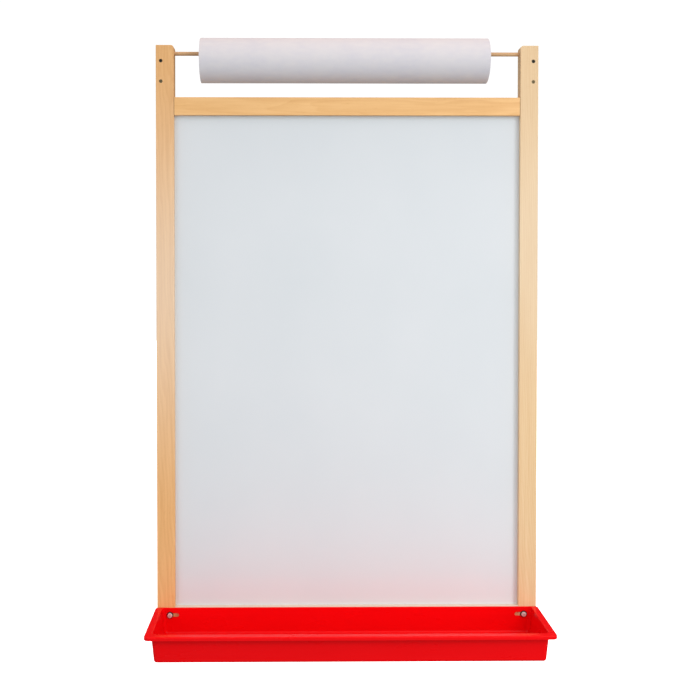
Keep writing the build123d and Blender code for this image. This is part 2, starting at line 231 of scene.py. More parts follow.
@dataclass(frozen=True)
class SolidWood(Finish):
    """Hard maple, birch or beech, planed or sanded.

    The knives cut the growth rings at a slant, so the eye sees long tongues of slightly darker
    late wood, crossed by fine fibre streaks and short flecks under an even satin.
    """

    pale: str
    dark: str
    grain: GrainAxis
    seed: float
    pith_mm: tuple[float, float] = (70.0, 38.0)  # the log's heart, from the easel's own axes
    ring_mm: float = 3.4  # maple's rings are 1 to 4 mm apart
    ring_depth: float = 0.16
    ring_wander_mm: float = 26.0  # how far the rings stray from round
    lean: float = 0.021  # of the log from the board, which draws its rings out into tongues
    streak_depth: float = 0.26
    fleck_depth: float = 0.16
    fibre_depth: float = 0.30
    roughness: float = 0.40
    coat: float = 0.0
    coat_roughness: float = 0.28
    fibre_bump_mm: float = 0.03
    sapwood_mm: float | None = None  # the height where the board runs out into pale sapwood
    sapwood_share: float = 0.0
    sapwood_reach_mm: float = 380.0
    sapwood_tone: str = "#F4F6EC"
    joint_mm: float | None = None  # how far from the middle its glued ends lie
    # the tone of the glue line and of the painted shade in the joint
    glue_and_shade_tone: str = "#6A4526"
    glue_and_shade_share: float = 0.72

    def lengths(self, across: float, along: float) -> tuple[float, float, float]:
        """Turn a pattern's two lengths to this piece's grain.

        Args:
            across: the length across the fibres, in millimetres.
            along: the length along them.

        Returns:
            The lengths along X, Y and Z.
        """
        if self.grain is GrainAxis.ALONG_X:
            return (along, across, across)
        return (across, across, along)

    def fibrous(
        self, tree: NodeTree, across: float, along: float, detail: float, **more: float
    ) -> NodeSocket:
        """Wire a pattern stretched along the fibres, moved so that no two pieces match.

        Args:
            tree: the material's node tree.
            across: the pattern's length across the fibres, in millimetres.
            along: its length along them.
            detail: how many finer layers it has.
            more: other inputs of the noise, by name.

        Returns:
            The pattern's socket, from 0 to 1.
        """
        stretched = self.millimetres(tree, self.lengths(across, along))
        offset = tuple(self.seed * stride for stride in SEED_STRIDES)
        moved = add_node(tree, "VectorMath", {0: stretched, 1: offset}, operation="ADD")
        clouds = {"Vector": moved.outputs[0], "Scale": 1.0, "Detail": detail, **more}
        return add_node(tree, "TexNoise", clouds).outputs["Fac"]

    def rings(self, tree: NodeTree) -> NodeSocket:
        """Wire growth rings about the log's heart.

        Args:
            tree: the material's node tree.

        Returns:
            The ring socket, from 0 in early wood to 1 in the thin late wood.
        """
        place = self.place(tree)
        sides = ("Y", "Z") if self.grain is GrainAxis.ALONG_X else ("X", "Y")
        length_axis = "X" if self.grain is GrainAxis.ALONG_X else "Z"
        offsets = []
        for axis, centre in zip(sides, self.pith_mm):
            lean = add_node(
                tree,
                "Math",
                {0: place.outputs[length_axis], 1: self.lean, 2: place.outputs[axis]},
                operation="MULTIPLY_ADD",
            )
            away = add_node(
                tree, "Math", {0: lean.outputs[0], 1: centre + self.seed}, operation="SUBTRACT"
            )
            offsets.append(away.outputs[0])
        radius = self.distance_from_line(tree, offsets)
        wander = self.fibrous(tree, 34, 260, 3.0)
        bent = add_node(
            tree, "Math", {0: wander, 1: self.ring_wander_mm, 2: radius}, operation="MULTIPLY_ADD"
        )
        count = add_node(tree, "Math", {0: bent.outputs[0], 1: self.ring_mm}, operation="DIVIDE")
        part = add_node(tree, "Math", {0: count.outputs[0]}, operation="FRACT")
        # a ring darkens slowly through its year's growth and stops short at winter
        rise = add_node(
            tree,
            "MapRange",
            {"Value": part.outputs[0], "From Min": 0.15, "From Max": 0.86},
            interpolation_type="SMOOTHSTEP",
        )
        fall = add_node(
            tree,
            "MapRange",
            {"Value": part.outputs[0], "From Min": 0.88, "From Max": 1.0, "To Min": 1, "To Max": 0},
            interpolation_type="SMOOTHSTEP",
        )
        ring = add_node(tree, "Math", {0: rise.outputs[0], 1: fall.outputs[0]}, operation="MULTIPLY")
        return ring.outputs[0]

    def sapwood(self, tree: NodeTree, colour: NodeSocket) -> NodeSocket:
        """Fade a stile's colour to pale sapwood in the middle of its length.

        Args:
            tree: the material's node tree.
            colour: the wood's colour.

        Returns:
            The colour with its sapwood, or the same one where the board has none.
        """
        if self.sapwood_mm is None:
            return colour
        away = add_node(
            tree, "Math", {0: self.place(tree).outputs["Z"], 1: self.sapwood_mm}, operation="SUBTRACT"
        )
        distance = add_node(tree, "Math", {0: away.outputs[0]}, operation="ABSOLUTE")
        share = add_node(
            tree,
            "MapRange",
            {
                "Value": distance.outputs[0],
                "From Max": self.sapwood_reach_mm,
                "To Min": self.sapwood_share,
                "To Max": 0.0,
            },
            interpolation_type="SMOOTHSTEP",
        )
        faded = add_node(
            tree,
            "Mix",
            {SHARE: share.outputs[0], FIRST: colour, SECOND: srgb_to_linear(self.sapwood_tone)},
            data_type="RGBA",
        )
        return faded.outputs[MIXED]

    def glue_line_and_shade(self, tree: NodeTree, colour: NodeSocket) -> NodeSocket:
        """Darken the last millimetre before a glued end, as the glue line and the painted shade of the
        joint.

        Args:
            tree: the material's node tree.
            colour: the wood's colour.

        Returns:
            The colour with its glue lines, or the same one where no end is seen.
        """
        if self.joint_mm is None:
            return colour
        along = self.place(tree).outputs["X"]
        out = add_node(tree, "Math", {0: along}, operation="ABSOLUTE")
        # a real glue line is 0.1 mm, drawn at half a millimetre so that it shows; the dark line is also
        # painted shade of the joint
        share = add_node(
            tree,
            "MapRange",
            {
                "Value": out.outputs[0],
                "From Min": self.joint_mm - 1.1,
                "From Max": self.joint_mm - 0.5,
                "To Max": self.glue_and_shade_share,
            },
        )
        lined = add_node(
            tree,
            "Mix",
            {SHARE: share.outputs[0], FIRST: colour, SECOND: srgb_to_linear(self.glue_and_shade_tone)},
            data_type="RGBA",
        )
        return lined.outputs[MIXED]

    def wire(self, tree: NodeTree, shader: Node) -> None:
        """Wire rings, streaks and flecks into colour, and fibres into roughness and bump.

        Args:
            tree: the material's node tree.
            shader: its Principled shader.
        """
        # streaks a few millimetres wide and a hand long are what shows at arm's length
        streaks = self.fibrous(tree, 5.5, 150, 4.0, Roughness=0.6)
        # real fibres are 0.02 mm wide, drawn at 0.7 mm so that they show
        fibres = self.fibrous(tree, 0.7, 26, 3.0, Roughness=0.7)
        # short darker flecks where the saw crosses the rays, 1.3 mm by 9 mm
        flecks = self.fibrous(tree, 1.3, 9, 1.0)
        fleck_mask = add_node(
            tree,
            "MapRange",
            {"Value": flecks, "From Min": 0.63, "From Max": 0.78},
            interpolation_type="SMOOTHSTEP",
        )
        ring_part = add_node(
            tree, "Math", {0: self.rings(tree), 1: self.ring_depth}, operation="MULTIPLY"
        )
        streak_mask = add_node(
            tree, "MapRange", {"Value": streaks, "From Min": 0.34, "From Max": 0.68}
        )
        with_streaks = add_node(
            tree,
            "Math",
            {0: streak_mask.outputs[0], 1: self.streak_depth, 2: ring_part.outputs[0]},
            operation="MULTIPLY_ADD",
        )
        with_flecks = add_node(
            tree,
            "Math",
            {0: fleck_mask.outputs[0], 1: self.fleck_depth, 2: with_streaks.outputs[0]},
            operation="MULTIPLY_ADD",
        )
        fibre_part = add_node(
            tree,
            "Math",
            {0: fibres, 1: self.fibre_depth, 2: with_flecks.outputs[0]},
            operation="MULTIPLY_ADD",
            use_clamp=True,
        )
        colour = add_node(
            tree,
            "Mix",
            {
                SHARE: fibre_part.outputs[0],
                FIRST: srgb_to_linear(self.pale),
                SECOND: srgb_to_linear(self.dark),
            },
            data_type="RGBA",
        )
        sheen = add_node(
            tree,
            "MapRange",
            {"Value": fibres, "To Min": self.roughness - 0.08, "To Max": self.roughness + 0.10},
        )
        bump = add_node(
            tree, "Bump", {"Strength": 0.35, "Distance": self.fibre_bump_mm * MM, "Height": fibres}
        )
        tone = self.glue_line_and_shade(tree, self.sapwood(tree, colour.outputs[MIXED]))
        surface = {
            "Base Color": tone,
            "Roughness": sheen.outputs[0],
            "Normal": bump.outputs[0],
            "IOR": 1.5,
            "Coat Weight": self.coat,
            "Coat Roughness": self.coat_roughness,
        }
        fill(tree, shader, surface)


@dataclass(frozen=True)
class DryEraseMelamine(Finish):
    """Melamine paper pressed against a mirror-polished plate.

    The plate leaves a hard, wet-looking, nearly white gloss that shows the tray as a soft blush.
    """

    tone: str = "#DDE2E3"
    cool_tone: str = "#D4DBDD"
    wiped_roughness: float = 0.10
    smeared_roughness: float = 0.19

    def wire(self, tree: NodeTree, shader: Node) -> None:
        """Wire a faint clouding into colour, wiped smears into gloss, and orange peel into bump.

        Args:
            tree: the material's node tree.
            shader: its Principled shader.
        """
        clouds = self.cloudy(tree, (160, 160, 210), 3.0)
        colour = add_node(
            tree,
            "Mix",
            {
                SHARE: clouds,
                FIRST: srgb_to_linear(self.tone),
                SECOND: srgb_to_linear(self.cool_tone),
            },
            data_type="RGBA",
        )
        # smears left by the eraser, a hand long and a finger wide, seen only in the gloss
        smears = self.cloudy(tree, (95, 95, 22), 5.0, Distortion=0.8)
        gloss = add_node(
            tree,
            "MapRange",
            {
                "Value": smears,
                "From Min": 0.3,
                "From Max": 0.7,
                "To Min": self.wiped_roughness,
                "To Max": self.smeared_roughness,
            },
        )
        # orange peel, 4.5 mm from crest to crest
        peel = self.cloudy(tree, (4.5, 4.5, 4.5), 1.0)
        bump = add_node(tree, "Bump", {"Strength": 0.12, "Distance": 0.02 * MM, "Height": peel})
        surface = {
            "Base Color": colour.outputs[MIXED],
            "Roughness": gloss.outputs[0],
            "Normal": bump.outputs[0],
            "IOR": 1.5,
        }
        fill(tree, shader, surface)


@dataclass(frozen=True)
class ScreenBackHardboard(Finish):
    """Wood fibre pressed wet on a wire screen: dull brown, mottled, with the screen's weave."""

    pale: str = "#94693F"
    dark: str = "#5E3F22"
    weave_mm: float = 2.4  # a real screen is 1 mm, drawn coarser so that it shows

    def wire(self, tree: NodeTree, shader: Node) -> None:
        """Wire mottled fibre into colour and the screen's weave into bump.

        Args:
            tree: the material's node tree.
            shader: its Principled shader.
        """
        fibre = self.cloudy(tree, (7, 7, 7), 6.0, Roughness=0.7)
        mottle = add_node(tree, "MapRange", {"Value": fibre, "From Min": 0.3, "From Max": 0.7})
        place = add_node(
            tree,
            "SeparateXYZ",
            {0: self.millimetres(tree, (self.weave_mm, self.weave_mm, self.weave_mm))},
        )
        wires = []
        for axis in ("X", "Z"):
            turn = add_node(tree, "Math", {0: place.outputs[axis], 1: 2 * math.pi}, operation="MULTIPLY")
            wave = add_node(tree, "Math", {0: turn.outputs[0]}, operation="SINE")
            wires.append(wave.outputs[0])
        weave = add_node(tree, "Math", {0: wires[0], 1: wires[1]}, operation="MULTIPLY")
        # the weave also darkens the colour a little: painted shade in its pits
        mottle_and_pit_shade = add_node(
            tree,
            "Math",
            {0: weave.outputs[0], 1: 0.10, 2: mottle.outputs[0]},
            operation="MULTIPLY_ADD",
            use_clamp=True,
        )
        colour = add_node(
            tree,
            "Mix",
            {
                SHARE: mottle_and_pit_shade.outputs[0],
                FIRST: srgb_to_linear(self.dark),
                SECOND: srgb_to_linear(self.pale),
            },
            data_type="RGBA",
        )
        height = add_node(
            tree, "Math", {0: fibre, 1: 0.8, 2: weave.outputs[0]}, operation="MULTIPLY_ADD"
        )
        bump = add_node(
            tree, "Bump", {"Strength": 0.8, "Distance": 0.25 * MM, "Height": height.outputs[0]}
        )
        surface = {
            "Base Color": colour.outputs[MIXED],
            "Normal": bump.outputs[0],
            "Roughness": 0.78,
            "IOR": 1.45,
        }
        fill(tree, shader, surface)


@dataclass(frozen=True)
class EaselPaper(Finish):
    """Uncoated machine-finished paper: dull white with a faint fibre cloud."""

    tone: str = "#DBD8D8"
    shade: str = "#D4D2D6"

    def wire(self, tree: NodeTree, shader: Node) -> None:
        """Wire the sheet's fibre cloud into colour and its tooth into bump.

        Args:
            tree: the material's node tree.
            shader: its Principled shader.
        """
        cloud = self.cloudy(tree, (16, 9, 9), 5.0)
        # faint darker bands round the roll, about 60 mm apart: painted shade where the wound sheet is
        # slacker
        slack_shade_bands = self.cloudy(tree, (60, 900, 900), 2.0)
        both = add_node(tree, "Math", {0: cloud, 1: slack_shade_bands}, operation="MULTIPLY")
        share = add_node(tree, "MapRange", {"Value": both.outputs[0], "From Min": 0.12, "From Max": 0.40})
        colour = add_node(
            tree,
            "Mix",
            {
                SHARE: share.outputs[0],
                FIRST: srgb_to_linear(self.tone),
                SECOND: srgb_to_linear(self.shade),
            },
            data_type="RGBA",
        )
        # the real tooth is 0.1 mm, drawn at 0.6 mm so that it shows
        tooth = self.cloudy(tree, (0.6, 0.6, 0.6), 2.0)
        bump = add_node(tree, "Bump", {"Strength": 0.25, "Distance": 0.04 * MM, "Height": tooth})
        surface = {
            "Base Color": colour.outputs[MIXED],
            "Normal": bump.outputs[0],
            "Roughness": 0.72,
            "IOR": 1.45,
        }
        fill(tree, shader, surface)


@dataclass(frozen=True)
class SlitPaperEdges(Finish):
    """The slit edges of many turns of paper: fine rings, with painted shade in the gaps between turns."""

    tone: str
    shade: str
    centre_mm: tuple[float, float]
    turn_mm: float = 0.55  # real turns are 0.1 mm apart, drawn coarser so that they show
    stray_mm: float = 0.9  # how far a turn strays from round

    def wire(self, tree: NodeTree, shader: Node) -> None:
        """Wire rings round the roll's axis into colour and bump.

        Args:
            tree: the material's node tree.
            shader: its Principled shader.
        """
        place = self.place(tree)
        offsets = []
        for axis, centre in zip(("Y", "Z"), self.centre_mm):
            away = add_node(tree, "Math", {0: place.outputs[axis], 1: centre}, operation="SUBTRACT")
            offsets.append(away.outputs[0])
        radius = self.distance_from_line(tree, offsets)
        uneven = self.cloudy(tree, (14, 14, 14), 3.0)
        bent = add_node(
            tree, "Math", {0: uneven, 1: self.stray_mm, 2: radius}, operation="MULTIPLY_ADD"
        )
        turns = add_node(
            tree, "Math", {0: bent.outputs[0], 1: 2 * math.pi / self.turn_mm}, operation="MULTIPLY"
        )
        wave = add_node(tree, "Math", {0: turns.outputs[0]}, operation="SINE")
        share = add_node(
            tree, "MapRange", {"Value": wave.outputs[0], "From Min": -1.0, "To Min": 0.0, "To Max": 0.85}
        )
        # the darker rings are painted shade in the gaps between turns
        colour = add_node(
            tree,
            "Mix",
            {
                SHARE: share.outputs[0],
                FIRST: srgb_to_linear(self.shade),
                SECOND: srgb_to_linear(self.tone),
            },
            data_type="RGBA",
        )
        bump = add_node(tree, "Bump", {"Strength": 0.5, "Distance": 0.12 * MM, "Height": wave.outputs[0]})
        surface = {
            "Base Color": colour.outputs[MIXED],
            "Normal": bump.outputs[0],
            "Roughness": 0.8,
            "IOR": 1.45,
        }
        fill(tree, shader, surface)


@dataclass(frozen=True)
class SpiralWoundKraft(Finish):
    """Kraft card wound in a helix: brown, fibrous, with the butted seam running round the tube."""

    pale: str = "#B4926A"
    dark: str = "#7E6142"
    seam_mm: float = 62.0  # how far the seam travels along the tube in one turn

    def wire(self, tree: NodeTree, shader: Node) -> None:
        """Wire card fibre and the helical seam into colour and bump.

        Args:
            tree: the material's node tree.
            shader: its Principled shader.
        """
        fibre = self.cloudy(tree, (5, 2, 2), 5.0)
        place = self.place(tree)
        along = add_node(tree, "Math", {0: place.outputs["X"], 1: self.seam_mm}, operation="DIVIDE")
        helix = add_node(
            tree,
            "Math",
            {0: place.outputs["Z"], 1: 1 / self.seam_mm, 2: along.outputs[0]},
            operation="MULTIPLY_ADD",
        )
        part = add_node(tree, "Math", {0: helix.outputs[0]}, operation="FRACT")
        seam = add_node(
            tree,
            "MapRange",
            {"Value": part.outputs[0], "From Min": 0.0, "From Max": 0.03, "To Min": 1, "To Max": 0},
        )
        share = add_node(
            tree,
            "Math",
            {0: seam.outputs[0], 1: 0.8, 2: fibre},
            operation="MULTIPLY_ADD",
            use_clamp=True,
        )
        colour = add_node(
            tree,
            "Mix",
            {
                SHARE: share.outputs[0],
                FIRST: srgb_to_linear(self.pale),
                SECOND: srgb_to_linear(self.dark),
            },
            data_type="RGBA",
        )
        bump = add_node(tree, "Bump", {"Strength": 0.4, "Distance": 0.08 * MM, "Height": fibre})
        surface = {
            "Base Color": colour.outputs[MIXED],
            "Normal": bump.outputs[0],
            "Roughness": 0.85,
            "IOR": 1.45,
        }
        fill(tree, shader, surface)


@dataclass(frozen=True)
class MouldedPolystyrene(Finish):
    """High-impact polystyrene moulded in a polished steel tool.

    The colour runs through it, so the eye sees one saturated red with soft, blurred highlights.
    """

    tone: str = "#EF050C"
    deep_tone: str = "#E7050B"
    roughness: float = 0.28
    specular: float = 0.12

    def wire(self, tree: NodeTree, shader: Node) -> None:
        """Wire faint flow marks into colour, handling marks into gloss, and ripple into bump.

        Args:
            tree: the material's node tree.
            shader: its Principled shader.
        """
        flow = self.cloudy(tree, (130, 40, 26), 3.0)
        colour = add_node(
            tree,
            "Mix",
            {SHARE: flow, FIRST: srgb_to_linear(self.tone), SECOND: srgb_to_linear(self.deep_tone)},
            data_type="RGBA",
        )
        marks = self.cloudy(tree, (60, 22, 22), 3.0)
        gloss = add_node(
            tree,
            "MapRange",
            {
                "Value": marks,
                "From Min": 0.3,
                "From Max": 0.75,
                "To Min": self.roughness - 0.02,
                "To Max": self.roughness + 0.05,
            },
        )
        ripple = self.cloudy(tree, (24, 24, 24), 1.0)
        bump = add_node(tree, "Bump", {"Strength": 0.20, "Distance": 0.04 * MM, "Height": ripple})
        surface = {
            "Base Color": colour.outputs[MIXED],
            "Roughness": gloss.outputs[0],
            "Normal": bump.outputs[0],
            "IOR": 1.55,
            "Specular IOR Level": self.specular,
        }
        fill(tree, shader, surface)


@dataclass(frozen=True)
class PlatedSteel(Finish):
    """Steel with a thin plated or blackened skin, mottled where the bath took unevenly."""

    tone: str
    stain: str
    roughness: float = 0.32
    metallic: float = 1.0
    mottle_mm: float = 2.2
    paler_below_mm: float | None = None  # the heads below this height are paler
    paler_tone: str = "#9A8B68"

    def wire(self, tree: NodeTree, shader: Node) -> None:
        """Wire the plating's mottle into colour and gloss, and tool marks into bump.

        Args:
            tree: the material's node tree.
            shader: its Principled shader.
        """
        mottle = self.cloudy(tree, (self.mottle_mm,) * 3, 4.0)
        share = add_node(tree, "MapRange", {"Value": mottle, "From Min": 0.38, "From Max": 0.72})
        colour = add_node(
            tree,
            "Mix",
            {
                SHARE: share.outputs[0],
                FIRST: srgb_to_linear(self.tone),
                SECOND: srgb_to_linear(self.stain),
            },
            data_type="RGBA",
        )
        skin = colour.outputs[MIXED]
        # the heads below the given height take a paler tone
        if self.paler_below_mm is not None:
            lower_heads = add_node(
                tree,
                "Math",
                {0: self.place(tree).outputs["Z"], 1: self.paler_below_mm},
                operation="LESS_THAN",
            )
            both = add_node(
                tree,
                "Mix",
                {SHARE: lower_heads.outputs[0], FIRST: skin, SECOND: srgb_to_linear(self.paler_tone)},
                data_type="RGBA",
            )
            skin = both.outputs[MIXED]
        gloss = add_node(
            tree,
            "MapRange",
            {"Value": mottle, "To Min": self.roughness - 0.1, "To Max": self.roughness + 0.14},
        )
        marks = self.cloudy(tree, (0.5, 0.5, 4.0), 2.0)
        bump = add_node(tree, "Bump", {"Strength": 0.3, "Distance": 0.02 * MM, "Height": marks})
        surface = {
            "Base Color": skin,
            "Roughness": gloss.outputs[0],
            "Normal": bump.outputs[0],
            "Metallic": self.metallic,
        }
        fill(tree, shader, surface)


@dataclass(frozen=True)
class MouldedRubber(Finish):
    """Natural rubber moulded in a blasted tool: nearly black, with a dusty matt bloom."""

    tone: str = "#1C1B1B"
    bloom: str = "#3A3836"

    def wire(self, tree: NodeTree, shader: Node) -> None:
        """Wire the bloom into colour and the blasted texture into bump.

        Args:
            tree: the material's node tree.
            shader: its Principled shader.
        """
        grit = self.cloudy(tree, (0.9, 0.9, 0.9), 4.0)
        share = add_node(tree, "MapRange", {"Value": grit, "From Min": 0.42, "From Max": 0.75})
        colour = add_node(
            tree,
            "Mix",
            {
                SHARE: share.outputs[0],
                FIRST: srgb_to_linear(self.tone),
                SECOND: srgb_to_linear(self.bloom),
            },
            data_type="RGBA",
        )
        bump = add_node(tree, "Bump", {"Strength": 0.5, "Distance": 0.06 * MM, "Height": grit})
        surface = {
            "Base Color": colour.outputs[MIXED],
            "Normal": bump.outputs[0],
            "Roughness": 0.75,
            "IOR": 1.52,
        }
        fill(tree, shader, surface)


def dress(node: str, finish: Finish) -> None:
    """Give a CAD node its finish.

    Args:
        node: the node's name.
        finish: what it is made of.
    """
    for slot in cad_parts[node].material_slots:
        slot.material = finish.material()
    log.info("%s: %s", node, finish.name)


# --------------------------------------------------------------------------------------------
# Sub-assemblies
# --------------------------------------------------------------------------------------------


@dataclass
class WoodenFrame:
    """The two stiles and two rails, planed maple under a clear satin lacquer."""

    coat: float = 0.12
    # the left stile's darker, more orange tones are partly its own wood and partly painted shade, as the
    # light falls from the right
    left: tuple[str, str] = ("#EFBE80", "#CF9450")
    right: tuple[str, str] = ("#EACEA2", "#D3A96F")
    rail: tuple[str, str] = ("#F7C888", "#D89D54")
    # the rail behind the tray: darker, redder tones as painted shade and painted red glow from the tray
    foot: tuple[str, str] = ("#D8A272", "#B87F50")

    def dress_member(
        self, node: str, tones: tuple[str, str], grain: GrainAxis, seed: float, **cut: object
    ) -> None:
        """Dress one member in lacquered maple.

        Args:
            node: the member's node.
            tones: its early and its late wood.
            grain: the way its fibres run.
            seed: what sets its figure apart.
            cut: where the log's heart, the sapwood and the glued ends lie.
        """
        name = f"maple_planed_satin_lacquer_{node}"
        dress(node, SolidWood(name, *tones, grain, seed, coat=self.coat, **cut))

    def dress(self) -> None:
        """Give each member its own cut of maple, and the pins inside the joints plain beech."""
        upright, level = GrainAxis.ALONG_Z, GrainAxis.ALONG_X
        self.dress_member(
            "left_stile",
            self.left,
            upright,
            3.0,
            pith_mm=(-250.0, 10.0),
            sapwood_mm=-345.0,
            sapwood_share=0.32,
        )
        self.dress_member(
            "right_stile",
            self.right,
            upright,
            11.0,
            pith_mm=(392.0, -16.0),
            sapwood_mm=-270.0,
            sapwood_share=0.17,
            sapwood_reach_mm=330.0,
        )
        low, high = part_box("top_rail")
        self.dress_member(
            "top_rail",
            self.rail,
            level,
            19.0,
            pith_mm=(28.0, -74.0),
            joint_mm=(high.x - low.x) / 2 / MM,
        )
        # the rail behind the tray is darker and a touch redder, painted shade and painted red glow from
        # the tray, and paler along its upper arris
        self.dress_member(
            "bottom_rail",
            self.foot,
            level,
            29.0,
            pith_mm=(20.0, -930.0),
            sapwood_mm=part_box("bottom_rail")[1].z / MM,
            sapwood_share=0.55,
            sapwood_reach_mm=3.0,
        )
        for node, seed in (("top_rail_pins", 5.0), ("bottom_rail_pins", 7.0)):
            dress(
                node,
                SolidWood(
                    name=f"beech_turned_{node}",
                    pale="#D9B48A",
                    dark="#B98A5C",
                    grain=GrainAxis.ALONG_X,
                    seed=seed,
                    roughness=0.62,
                ),
            )


@dataclass
class DryEraseBoard:
    """The glossy sheet and the hardboard that it is bonded to."""

    face: Finish = field(default_factory=lambda: DryEraseMelamine("melamine_mirror_pressed_white"))
    back: Finish = field(default_factory=lambda: ScreenBackHardboard("hardboard_screen_pressed"))

    def dress(self) -> None:
        """Give both layers their finishes."""
        dress("dry_erase_face", self.face)
        dress("hardboard_core", self.back)


@dataclass
class PaperRoll:
    """The roll of paper on its card core: a wound sheet with a free edge and stepped ends."""

    sheet_mm: float = 0.22  # the outer turn's edge, a real sheet is 0.1 mm
    rounds: int = 144  # columns round the roll
    lengths: int = 46  # strips along the roll
    turns: int = 22  # steps drawn on each end
    step_mm: float = 0.45  # how far turns stand in from the end
    outer_turns_mm: float = 0.9  # the outermost turns, which lie too true to step
    inner_turns_mm: float = 0.3  # and the innermost
    glue_mm: float = 0.05  # between the first turn and the card core
    crease_deg: float = 30.0  # edges sharper than this stay sharp
    slack_mm: float = 0.16  # waviness of the outer turn
    waves_along: float = 9.0  # slack waves in a metre of roll
    waves_round: float = 1.2  # how fast they change round it
    edge_turn: float = 0.36  # where the free edge lies, in turns from the top towards the wall
    seed: int = 41

    def __post_init__(self) -> None:
        """Read the roll's size and place from the CAD boxes."""
        low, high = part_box("paper_roll")
        core_low, core_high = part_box("roll_core")
        self.left, self.right = low.x, high.x
        self.centre_y = (low.y + high.y) / 2
        self.centre_z = (low.z + high.z) / 2
        self.outer = (high.z - low.z) / 2
        self.inner = (core_high.z - core_low.z) / 2 + self.glue_mm * MM

    def point(self, column: int, radius: float, x: float) -> Vector:
        """Return the point on the roll at a column, a radius and a place along it.

        Args:
            column: the column's number, from the free edge round to it again.
            radius: the distance from the roll's axis, in metres.
            x: the place along the roll, in metres.

        Returns:
            The point, in metres.
        """
        angle = 2 * math.pi * (self.edge_turn + column / self.rounds)
        return Vector(
            (
                x,
                self.centre_y + radius * math.sin(angle),
                self.centre_z + radius * math.cos(angle),
            )
        )

    def outer_radius(self, column: int, x: float) -> float:
        """Return the outer turn's radius: it drops by one sheet in a turn and waves a little.

        Args:
            column: the column's number, from the free edge.
            x: the place along the roll, in metres.

        Returns:
            The radius, in metres.
        """
        angle = 2 * math.pi * column / self.rounds
        across = Vector((0.0, math.cos(angle), math.sin(angle))) * self.waves_round
        wave = noise.noise(across + Vector((x * self.waves_along, 0.0, 0.0)))
        dip = self.slack_mm * MM * (0.5 + 0.5 * wave)
        return self.outer - dip - self.sheet_mm * MM * column / self.rounds

    def circle(self, mesh: BMesh, radius: float, x: float) -> list[BMVert]:
        """Add a circle of points round the roll.

        Args:
            mesh: the mesh to add to.
            radius: the circle's radius, in metres.
            x: its place along the roll.

        Returns:
            Its points, with the first one again at the end.
        """
        ring = [mesh.verts.new(self.point(c, radius, x)) for c in range(self.rounds)]
        return [*ring, ring[0]]

    def band(
        self,
        mesh: BMesh,
        near: list[BMVert],
        far: list[BMVert],
        slot: int,
        smooth: bool = False,
    ) -> None:
        """Fill the band between two rings of points.

        Args:
            mesh: the mesh to add to.
            near: one ring.
            far: the other ring.
            slot: the material slot, 0 for the sheet and 1 for its slit edges.
            smooth: whether the band is shaded as round.
        """
        for c in range(self.rounds):
            face = mesh.faces.new((near[c], near[c + 1], far[c + 1], far[c]))
            face.material_index = slot
            face.smooth = smooth

    def outer_turn(self, mesh: BMesh, stations: list[float]) -> list[list[BMVert]]:
        """Add the outer turn, from its free edge round to the step under that edge.

        Args:
            mesh: the mesh to add to.
            stations: the places along the roll, in metres.

        Returns:
            Its points, a row of stations for each column.
        """
        skin = [
            [mesh.verts.new(self.point(c, self.outer_radius(c, x), x)) for x in stations]
            for c in range(self.rounds + 1)
        ]
        for near, far in zip(skin, skin[1:]):
            for i in range(self.lengths):
                face = mesh.faces.new((near[i], near[i + 1], far[i + 1], far[i]))
                face.smooth = True
        first, last = skin[0], skin[-1]
        for i in range(self.lengths):
            mesh.faces.new((last[i], last[i + 1], first[i + 1], first[i]))
        return skin

    def stepped_end(
        self,
        mesh: BMesh,
        rim: list[BMVert],
        x_end: float,
        inward: float,
        rng: random.Random,
    ) -> list[BMVert]:
        """Add one end of the roll, where groups of turns stand in by different amounts.

        Args:
            mesh: the mesh to add to.
            rim: the outer turn's points at this end.
            x_end: the end's place along the roll, in metres.
            inward: 1 or -1, the way into the roll along X.
            rng: where the steps' places and depths are drawn from.

        Returns:
            The ring of points where the end meets the core.
        """
        cuts = sorted(rng.random() for _ in range(self.turns))
        radii = [self.outer + (self.inner - self.outer) * cut for cut in cuts]
        largest = self.outer - self.outer_turns_mm * MM
        smallest = self.inner + self.inner_turns_mm * MM
        depth = 0.0
        for radius in [r for r in radii if smallest < r < largest]:
            depth_next = rng.random() * self.step_mm * MM
            ring = self.circle(mesh, radius, x_end + inward * depth)
            self.band(mesh, rim, ring, slot=1)
            rim = self.circle(mesh, radius, x_end + inward * depth_next)
            self.band(mesh, ring, rim, slot=1)
            depth = depth_next
        rng.random()  # the draw that a step at the bore would have taken
        bore = self.circle(mesh, self.inner, x_end + inward * depth)
        self.band(mesh, rim, bore, slot=1)
        return bore

    def build(self) -> Object:
        """Build the wound paper.

        Returns:
            The paper's object.
        """
        rng = random.Random(self.seed)
        mesh = bmesh.new()
        pitch = (self.right - self.left) / self.lengths
        stations = [self.left + pitch * i for i in range(self.lengths + 1)]
        skin = self.outer_turn(mesh, stations)
        bores = [
            self.stepped_end(mesh, [column[end] for column in skin], stations[end], inward, rng)
            for end, inward in ((0, 1.0), (-1, -1.0))
        ]
        self.band(mesh, *bores, slot=0, smooth=True)
        bmesh.ops.recalc_face_normals(mesh, faces=mesh.faces)
        crease = math.radians(self.crease_deg)
        for edge in mesh.edges:
            if len(edge.link_faces) == 2 and edge.calc_face_angle(0.0) > crease:
                edge.smooth = False
        data = bpy.data.meshes.new("wound_paper")
        mesh.to_mesh(data)
        mesh.free()
        paper = bpy.data.objects.new("wound_paper", data)
        bpy.context.scene.collection.objects.link(paper)
        data.materials.append(EaselPaper("paper_uncoated_machine_finished").material())
        edges = SlitPaperEdges(
            "paper_slit_edges",
            "#EDE9EA",
            "#BDB6B8",
            (self.centre_y / MM, self.centre_z / MM),
        )
        data.materials.append(edges.material())
        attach(paper, "roll")
        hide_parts("paper_roll")
        log.info("wound_paper: %d faces", len(data.polygons))
        return paper

